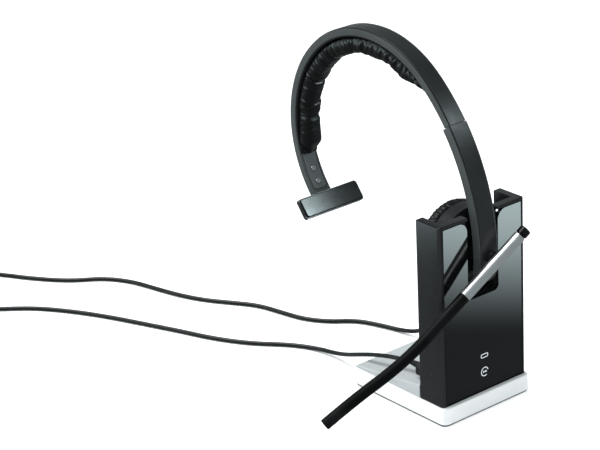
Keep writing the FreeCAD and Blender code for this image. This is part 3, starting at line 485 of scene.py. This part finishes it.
def make_ear_cloth():
    """Thin cloth over the speaker holes, inside the cushion's ring, slightly domed."""
    circles, around = 8, 64
    mesh = bmesh.new()
    rings = []
    for i in range(circles + 1):
        radius = cushion_hole * 1.12 * i / circles
        dome = 0.5 * MM * (1 - (i / circles) ** 2)
        y = cushion_front + 0.4 * MM + dome
        if i == 0:
            rings.append([mesh.verts.new((0, y, cup_axis_z))])
            continue
        ring = []
        for k in range(around):
            angle = 2 * pi * k / around
            ring.append(mesh.verts.new((radius * cos(angle), y, cup_axis_z + radius * sin(angle))))
        rings.append(ring)
    for k in range(around):
        mesh.faces.new((rings[0][0], rings[1][k], rings[1][(k + 1) % around]))
    for a, b in zip(rings[1:], rings[2:]):
        for k in range(around):
            m = (k + 1) % around
            mesh.faces.new((a[k], b[k], b[m], a[m]))
    piece = finish_mesh("speaker_cloth", mesh)
    solid = piece.modifiers.new("thickness", "SOLIDIFY")
    solid.thickness = 0.25 * MM
    return piece


ear_cushion = make_cushion()
swell(ear_cushion, 0.5 * MM, 6.0, 0.04, lambda p: p.y < cushion_front + 1.2 * MM)
ear_piping = make_cushion_seam()
ear_cloth = make_ear_cloth()
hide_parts("ear_cushion")
for piece in (ear_cushion, ear_piping, ear_cloth):
    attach(piece, "cup")


# ---- materials ----------------------------------------------------------------------------
class Nodes:
    """Short names for building one material's nodes."""

    def __init__(self, name):
        self.material = bpy.data.materials.new(name)
        self.material.use_nodes = True
        self.tree = self.material.node_tree
        self.shader = self.tree.nodes["Principled BSDF"]
        self.place = self.tree.nodes.new("ShaderNodeTexCoord").outputs["Object"]

    def add(self, kind, **values):
        node = self.tree.nodes.new(kind)
        for key, value in values.items():
            setattr(node, key, value)
        return node

    def link(self, source, target):
        self.tree.links.new(source, target)

    def scaled(self, x, y, z):
        mapping = self.add("ShaderNodeMapping")
        mapping.inputs["Scale"].default_value = (x, y, z)
        self.link(self.place, mapping.inputs["Vector"])
        return mapping.outputs["Vector"]

    def noise(self, scale, detail=3.0, place=None, distortion=0.0):
        node = self.add("ShaderNodeTexNoise")
        node.inputs["Scale"].default_value = scale
        node.inputs["Detail"].default_value = detail
        node.inputs["Distortion"].default_value = distortion
        self.link(place or self.place, node.inputs["Vector"])
        return node.outputs["Fac"]

    def cells(self, scale, feature="F1"):
        node = self.add("ShaderNodeTexVoronoi", feature=feature)
        node.inputs["Scale"].default_value = scale
        self.link(self.place, node.inputs["Vector"])
        return node.outputs["Distance"]

    def ramp(self, source, low, high, from_low=0.0, from_high=1.0):
        node = self.add("ShaderNodeMapRange")
        node.inputs["From Min"].default_value = from_low
        node.inputs["From Max"].default_value = from_high
        node.inputs["To Min"].default_value = low
        node.inputs["To Max"].default_value = high
        self.link(source, node.inputs["Value"])
        return node.outputs["Result"]

    def mix(self, share, a, b):
        node = self.add("ShaderNodeMix", data_type="RGBA")
        for socket, value in ((node.inputs["A"], a), (node.inputs["B"], b)):
            if isinstance(value, tuple):
                socket.default_value = (*value, 1.0)
            else:
                self.link(value, socket)
        self.link(share, node.inputs["Factor"])
        return node.outputs["Result"]

    def colour(self, source):
        self.link(source, self.shader.inputs["Base Color"])

    def roughness(self, source):
        self.link(source, self.shader.inputs["Roughness"])

    def bump(self, *layers):
        """layers: (height, strength, distance in millimetres), the coarsest first."""
        normal = None
        for height, strength, distance in layers:
            node = self.add("ShaderNodeBump")
            node.inputs["Strength"].default_value = strength
            node.inputs["Distance"].default_value = distance * MM
            self.link(height, node.inputs["Height"])
            if normal:
                self.link(normal, node.inputs["Normal"])
            normal = node.outputs["Normal"]
        self.link(normal, self.shader.inputs["Normal"])

    def set(self, **values):
        for key, value in values.items():
            self.shader.inputs[key.replace("_", " ")].default_value = value

    def edge(self, edge_wear_and_highlight, colour):
        """Lightens convex edges a little: partly wear where hands have rubbed them, partly a painted edge
        highlight.
        """
        geometry = self.add("ShaderNodeNewGeometry")
        amount = self.ramp(geometry.outputs["Pointiness"], 0.0, edge_wear_and_highlight, 0.52, 0.60)
        # light grey mixed into convex edges: partly rubbed wear, partly painted highlight
        rubbed_and_lit_edge = (0.32, 0.33, 0.34)
        return self.mix(amount, colour, rubbed_and_lit_edge)


def plastic(name, colour, rough, grain=2600.0, depth=0.03, specular=0.5, spread=0.18, edge_wear_and_highlight=0.10):
    """Moulded plastic: spark-eroded grain, slow colour drift, faint smudges, and rubbed edges that are
    lightened partly as a painted edge highlight.
    """
    n = Nodes(name)
    drift = n.noise(38.0, 4.0)
    dark = tuple(c * (1 - spread) for c in colour)
    light = tuple(min(c * (1 + spread), 1.0) for c in colour)
    n.colour(n.edge(edge_wear_and_highlight, n.mix(n.ramp(drift, 0.0, 1.0, 0.3, 0.7), dark, light)))
    smudge = n.noise(120.0, 5.0, distortion=0.6)
    n.roughness(n.ramp(smudge, rough * 0.86, min(rough * 1.16, 1.0), 0.3, 0.7))
    n.bump((n.noise(grain, 2.0), 0.35, depth), (n.cells(grain * 0.6), 0.2, depth * 0.7))
    n.set(Specular_IOR_Level=specular)
    return n.material


def gloss_panel(name, colour):
    """Clear gloss window plastic: near mirror, with the lightest orange peel and wipe marks."""
    n = Nodes(name)
    drift = n.noise(30.0, 3.0)
    n.colour(n.mix(drift, tuple(c * 0.8 for c in colour), tuple(c * 1.2 for c in colour)))
    wipes = n.noise(60.0, 6.0, n.scaled(1, 1, 0.25), 0.8)
    n.roughness(n.ramp(wipes, 0.03, 0.075, 0.35, 0.75))
    n.bump((n.noise(140.0, 2.0), 0.04, 0.05))
    n.set(Specular_IOR_Level=0.22)
    return n.material


def metal(name, colour, rough, lines=900.0, depth=0.012):
    """Bare metal with fine streaks and slight stains."""
    n = Nodes(name)
    streaks = n.noise(lines, 3.0)
    stains = n.noise(70.0, 4.0)
    tone = n.mix(n.ramp(stains, 0.0, 1.0, 0.35, 0.7), tuple(c * 0.86 for c in colour), colour)
    n.colour(n.mix(n.ramp(streaks, 0.0, 0.35, 0.3, 0.8), tone, tuple(min(c * 1.15, 1) for c in colour)))
    n.roughness(n.ramp(streaks, rough * 0.8, rough * 1.25, 0.3, 0.7))
    n.bump((streaks, 0.3, depth))
    n.set(Metallic=1.0)
    return n.material


def brushed_tube(name, colour, direction):
    """Aluminium tube, polished lengthwise: the fine lines run along the given direction."""
    n = Nodes(name)
    turn = Vector(direction).rotation_difference(Vector((0, 0, 1))).to_euler()
    mapping = n.add("ShaderNodeMapping", vector_type="POINT")
    mapping.inputs["Rotation"].default_value = turn
    n.link(n.place, mapping.inputs["Vector"])
    squeeze = n.add("ShaderNodeMapping")
    squeeze.inputs["Scale"].default_value = (1, 1, 0.03)
    n.link(mapping.outputs["Vector"], squeeze.inputs["Vector"])
    lines = n.noise(2600.0, 3.0, squeeze.outputs["Vector"])
    stains = n.noise(90.0, 4.0)
    n.colour(n.mix(n.ramp(lines, 0.0, 1.0, 0.3, 0.7), tuple(c * 0.88 for c in colour), colour))
    n.roughness(n.ramp(stains, 0.30, 0.38, 0.35, 0.7))
    n.bump((lines, 0.12, 0.006))
    n.set(Metallic=1.0)
    return n.material


def leather(name, colour, rough):
    """Thin soft leather: pebbled cells, creases and worn shiny high spots, whose lighter colour is partly a
    painted sheen.
    """
    n = Nodes(name)
    pebble = n.cells(1500.0, "SMOOTH_F1")
    crease = n.noise(420.0, 5.0, distortion=1.2)
    drift = n.noise(60.0, 4.0)
    geometry = n.add("ShaderNodeNewGeometry")
    worn_and_sheen = n.ramp(geometry.outputs["Pointiness"], 0.0, 1.0, 0.48, 0.56)
    dark, light = tuple(c * 0.75 for c in colour), tuple(c * 1.3 for c in colour)
    base = n.mix(n.ramp(drift, 0.0, 1.0, 0.3, 0.7), dark, light)
    # convex high spots lightened in colour: partly real wear, partly painted sheen
    n.colour(n.mix(n.ramp(worn_and_sheen, 0.0, 0.25), base, tuple(min(c * 2.2, 1) for c in colour)))
    n.roughness(n.ramp(worn_and_sheen, rough * 1.12, rough * 0.82))
    n.bump((crease, 0.35, 0.12), (pebble, 0.5, 0.05))
    n.set(Specular_IOR_Level=0.12)
    return n.material


def cord_sheath(name):
    """Smooth soft cord cover with a satin sheen and a faint length of dust."""
    n = Nodes(name)
    dust = n.noise(260.0, 4.0)
    n.colour(n.mix(n.ramp(dust, 0.0, 1.0, 0.35, 0.75), (0.006, 0.0069, 0.0074), (0.013, 0.0150, 0.0160)))
    n.roughness(n.ramp(n.noise(90.0, 3.0), 0.24, 0.34, 0.3, 0.7))
    n.bump((n.noise(1800.0, 2.0), 0.2, 0.02))
    n.set(Specular_IOR_Level=0.32)
    return n.material


def cloth(name, colour):
    """Fine knitted cloth: two crossed waves of thread."""
    n = Nodes(name)
    threads = []
    for direction in ("X", "Z"):
        wave = n.add("ShaderNodeTexWave", wave_type="BANDS", bands_direction=direction)
        wave.inputs["Scale"].default_value = 900.0
        wave.inputs["Distortion"].default_value = 0.6
        n.link(n.place, wave.inputs["Vector"])
        threads.append(wave.outputs["Fac"])
    both = n.add("ShaderNodeMath", operation="MULTIPLY")
    n.link(threads[0], both.inputs[0])
    n.link(threads[1], both.inputs[1])
    n.colour(n.mix(both.outputs["Value"], tuple(c * 0.5 for c in colour), tuple(c * 1.6 for c in colour)))
    n.roughness(n.ramp(both.outputs["Value"], 0.95, 0.8))
    n.bump((both.outputs["Value"], 0.7, 0.15))
    n.set(Sheen_Weight=0.3)
    return n.material


def circuit(name):
    """Solder mask with copper tracks showing through as lighter lines."""
    n = Nodes(name)
    brick = n.add("ShaderNodeTexBrick")
    brick.inputs["Scale"].default_value = 260.0
    brick.inputs["Mortar Size"].default_value = 0.03
    n.link(n.place, brick.inputs["Vector"])
    n.colour(n.mix(brick.outputs["Fac"], (0.012, 0.085, 0.035), (0.03, 0.16, 0.06)))
    n.roughness(n.ramp(n.noise(200.0), 0.3, 0.45))
    n.bump((brick.outputs["Fac"], 0.3, 0.03))
    n.set(Coat_Weight=0.3, Coat_Roughness=0.15)
    return n.material


def painted_glow(name, colour, strength):
    """White with a painted glow from emission, a little uneven; nothing lights it from behind."""
    n = Nodes(name)
    uneven = n.noise(600.0, 3.0)
    tone = n.mix(uneven, tuple(c * 0.9 for c in colour), colour)
    n.colour(tone)
    n.link(tone, n.shader.inputs["Emission Color"])
    n.roughness(n.ramp(uneven, 0.3, 0.45))
    n.set(Emission_Strength=strength)
    return n.material


def clear_plastic(name):
    """Clear moulded plug body, smoky where it is thick."""
    n = Nodes(name)
    haze = n.noise(300.0, 4.0)
    n.colour(n.mix(haze, (0.50, 0.52, 0.54), (0.75, 0.77, 0.79)))
    n.roughness(n.ramp(haze, 0.08, 0.2))
    n.bump((n.noise(900.0), 0.1, 0.03))
    n.set(Transmission_Weight=0.45, Specular_IOR_Level=0.5)
    return n.material


boom_low, boom_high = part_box("boom_tube")
boom_direction = (-(boom_high[0] - boom_low[0]), boom_high[1] - boom_low[1], -(boom_high[2] - boom_low[2]))

tower_black = plastic("tower_black", (0.0050, 0.0058, 0.0062), 0.24, specular=0.12, edge_wear_and_highlight=0.05)
base_white = plastic("base_white", (0.86, 0.88, 0.89), 0.34, 2200.0, 0.02, edge_wear_and_highlight=0.0, spread=0.025)
deck_grey = plastic("deck_grey", (0.46, 0.49, 0.50), 0.30, 2200.0, 0.02, edge_wear_and_highlight=0.0, spread=0.03)
panel_gloss = gloss_panel("panel_gloss", (0.0030, 0.0034, 0.0036))
inner_black = plastic("inner_black", (0.004, 0.0043, 0.0045), 0.62, 1800.0, 0.05, specular=0.10, edge_wear_and_highlight=0.03)
band_dark = plastic("band_dark", (0.0100, 0.0115, 0.0120), 0.34, 3000.0, 0.03, specular=0.20, edge_wear_and_highlight=0.05)
band_grey = plastic("band_grey", (0.050, 0.058, 0.059), 0.36, 3000.0, 0.03, specular=0.30, edge_wear_and_highlight=0.05)
plate_black = plastic("plate_black", (0.075, 0.088, 0.091), 0.42, 3000.0, 0.03, specular=0.3, edge_wear_and_highlight=0.04)
cup_black = plastic("cup_black", (0.006, 0.0066, 0.0070), 0.24, 1500.0, 0.012, specular=0.15, edge_wear_and_highlight=0.03)
housing_black = plastic("housing_black", (0.004, 0.004, 0.0045), 0.40, specular=0.12, edge_wear_and_highlight=0.03)
boom_black = plastic("boom_black", (0.0022, 0.0026, 0.0028), 0.42, 3200.0, 0.03, specular=0.07, edge_wear_and_highlight=0.02)
button_black = plastic("button_black", (0.002, 0.002, 0.0022), 0.14, 900.0, 0.004, specular=0.15, edge_wear_and_highlight=0.02)
plug_black = plastic("plug_black", (0.008, 0.0085, 0.009), 0.48, 1600.0, 0.05, specular=0.2, edge_wear_and_highlight=0.05)
temple_grey = plastic("temple_grey", (0.004, 0.0045, 0.005), 0.30, 3000.0, 0.03, specular=0.2, edge_wear_and_highlight=0.04)
temple_soft = plastic("temple_soft", (0.004, 0.0044, 0.0047), 0.20, 3600.0, 0.02, specular=0.14, edge_wear_and_highlight=0.04)
foot_rubber = plastic("foot_rubber", (0.005, 0.005, 0.0055), 0.80, 1200.0, 0.12, specular=0.1)
pad_leather = leather("pad_leather", (0.0030, 0.0033, 0.0035), 0.36)
cushion_leather = leather("cushion_leather", (0.0035, 0.0038, 0.0040), 0.32)
sheath = cord_sheath("cord_sheath")
speaker_cloth = cloth("speaker_cloth", (0.02, 0.02, 0.021))
steel = metal("plain_steel", (0.50, 0.50, 0.51), 0.30)
tin = metal("tinned_sheet", (0.62, 0.62, 0.63), 0.34)
zinc = metal("zinc_plate", (0.44, 0.45, 0.46), 0.45, lines=260.0, depth=0.03)
gold = metal("gold_contact", (0.83, 0.63, 0.30), 0.22)
foil = metal("battery_foil", (0.68, 0.69, 0.70), 0.4, lines=300.0, depth=0.05)
silver = brushed_tube("boom_silver", (0.60, 0.62, 0.63), boom_direction)
board = circuit("circuit_board")
# print marks given a faint emission: painted glow
mark_white = painted_glow("mark_white", (0.62, 0.67, 0.70), 0.35)
# the status lens glows with emission as a painted glint at the slot's top corner
glint_lens = painted_glow("status_lens", (0.85, 0.90, 0.92), 1.2)
clear = clear_plastic("clear_plug")

finishes = {
    "base_housing": base_white, "bottom_cover": inner_black, "bottom_screws": steel,
    "ballast_plate": zinc, "foot_pad": foot_rubber, "rear_deck": deck_grey,
    "tower_shell": tower_black, "status_light": glint_lens, "front_panel": panel_gloss,
    "window_mark": mark_white, "ring_mark": mark_white, "cradle_saddle": inner_black,
    "charging_pins": gold, "rear_cover": tower_black, "rear_cover_screws": steel,
    "dock_board": board, "radio_shield": tin, "usb_socket": tin, "line_socket": inner_black,
    "usb_plug": plug_black, "usb_strain_relief": plug_black, "line_plug": clear,
    "line_strain_relief": plug_black, "computer_plug_grip": plug_black, "computer_plug_shell": tin,
    "phone_plug": clear, "cup_cover": cup_black, "cup_housing": housing_black,
    "charging_pads": gold, "speaker_baffle": inner_black, "speaker_driver": tin,
    "headset_board": board, "headset_battery": foil, "arm_outer_shell": band_dark,
    "arm_frame": band_grey, "cup_ball_stud": steel, "slider_strip": steel,
    "headband_cover": band_dark, "headband_frame": band_grey, "headband_spring": steel,
    "end_plate": plate_black, "end_screws": steel, "pad_carrier": inner_black,
    "temple_plate": temple_grey, "temple_pad": temple_soft, "temple_pin": steel,
    "temple_bracket": housing_black, "boom_tube": silver, "boom_arm": boom_black,
    "microphone_tip": boom_black, "microphone_capsule": tin, "boom_hub": cup_black,
    "mute_button": button_black, "mute_switch": inner_black,
}


def paint(piece, material):
    """Gives the whole piece one material."""
    if len(piece.material_slots) == 0:
        piece.data.materials.append(material)
    for held in piece.material_slots:
        held.material = material


for node, material in finishes.items():
    paint(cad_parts[node], material)
soft_finishes = (
    (usb_cord, sheath), (line_cord, sheath), (usb_tie, speaker_cloth), (line_tie, speaker_cloth),
    (head_pad, pad_leather), (ear_cushion, cushion_leather), (ear_piping, cushion_leather),
    (ear_cloth, speaker_cloth),
)
for piece, material in soft_finishes:
    paint(piece, material)


# ---- floor and light ----------------------------------------------------------------------
def make_floor():
    """White paper under everything, kept out of the pieces' reflections."""
    mesh = bmesh.new()
    bmesh.ops.create_grid(mesh, x_segments=1, y_segments=1, size=4.0)
    floor = finish_mesh("floor", mesh, False)
    floor.location.z = -0.0002
    n = Nodes("floor_paper")
    tone = n.noise(6.0, 3.0)
    n.colour(n.mix(tone, (0.95, 0.95, 0.95), (0.97, 0.97, 0.97)))
    n.roughness(n.ramp(n.noise(300.0), 0.85, 0.95))
    n.bump((n.noise(900.0), 0.05, 0.05))
    paint(floor, n.material)
    floor.visible_glossy = False
    return floor


def light_only(name, pieces):
    """Lets a light reach only some pieces."""
    group = bpy.data.collections.new(name)
    for piece in pieces:
        group.objects.link(piece)
    bpy.data.objects[name].light_linking.receiver_collection = group


def make_light(name, place, aim, size, power, seen=True):
    """Rectangular light from place towards aim; seen is whether it shows in reflections."""
    data = bpy.data.lights.new(name, "AREA")
    data.shape = "RECTANGLE"
    data.size, data.size_y = size
    data.energy = power
    light = bpy.data.objects.new(name, data)
    light.location = place
    light.rotation_euler = (Vector(aim) - Vector(place)).to_track_quat("-Z", "Y").to_euler()
    light.visible_camera = False
    light.visible_glossy = seen
    bpy.context.scene.collection.objects.link(light)


card_colour = (0.80, 0.97, 1.0)


def make_card(name, place, aim, size, strength, low, high, lit_pieces):
    """Bright card for the reflections in some pieces only. It fades in from low to high, which are
    shares of its height."""
    make_light(name, place, aim, size, 1.0)
    light_only(name, lit_pieces)
    data = bpy.data.lights[name]
    data.color = card_colour
    data.use_nodes = True
    tree = data.node_tree
    geometry = tree.nodes.new("ShaderNodeNewGeometry")
    parts = tree.nodes.new("ShaderNodeSeparateXYZ")
    fade = tree.nodes.new("ShaderNodeMapRange")
    fade.interpolation_type = "SMOOTHSTEP"
    fade.inputs["From Min"].default_value = low
    fade.inputs["From Max"].default_value = high
    fade.inputs["To Max"].default_value = strength
    tree.links.new(geometry.outputs["Parametric"], parts.inputs["Vector"])
    tree.links.new(parts.outputs["Y"], fade.inputs["Value"])
    tree.links.new(fade.outputs["Result"], tree.nodes["Emission"].inputs["Strength"])
    bpy.data.objects[name].visible_diffuse = False


floor = make_floor()
make_light("floor_wash", (0.5, -0.7, 0.8), (0.0, 0.0, 0.0), (1.0, 1.0), 10.0)
light_only("floor_wash", [floor])
make_light("overhead", (-0.35, 0.35, 1.5), (0, 0, 0.05), (1.1, 1.1), 28.5)
make_light("left_side", (-1.2, 0.6, 0.45), (0, 0.05, 0.12), (0.7, 0.6), 2.3)
make_light("right_front", (1.0, -1.0, 0.9), (0, 0, 0.1), (0.6, 0.6), 5.5, False)
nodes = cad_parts
make_card("panel_card", (0.063, -0.104, 0.048), (0.0, -0.037, 0.088), (0.18, 0.085), 0.75, 0.0, 1.0,
          [nodes["front_panel"]])
make_card("tower_card", (-0.15, 0.10, 0.052), (-0.034, -0.03, 0.10), (0.20, 0.10), 1.0, 0.25, 1.0,
          [nodes["tower_shell"]])
make_card("temple_card", (0.067, -0.013, 0.198), (-0.01, 0.0928, 0.0922), (0.04, 0.04), 0.42, -1.0, 0.6,
          [nodes["temple_pad"], nodes["temple_plate"]])
make_card("band_card", (0.143, -0.162, 0.31), (0.0, -0.035, 0.15), (0.06, 0.06), 0.22, -1.0, 0.5,
          [nodes["headband_cover"], nodes["arm_outer_shell"]])
make_card("leather_left_card", (-0.26, 0.32, 0.30), (0.0, 0.035, 0.16), (0.22, 0.22), 1.5, -1.0, 0.5,
          [head_pad, ear_cushion, ear_piping])
make_card("leather_card", (0.25, -0.35, 0.35), (0.0, 0.035, 0.16), (0.3, 0.3), 10.0, -1.0, 0.5,
          [head_pad, ear_cushion, ear_piping])

world = bpy.data.worlds.new("studio")
world.use_nodes = True
background = world.node_tree.nodes["Background"]
background.inputs["Color"].default_value = (0.89, 0.98, 1.0, 1.0)
background.inputs["Strength"].default_value = 0.42
bpy.context.scene.world = world
bpy.context.scene.view_settings.view_transform = "Standard"

bpy.context.view_layer.update()
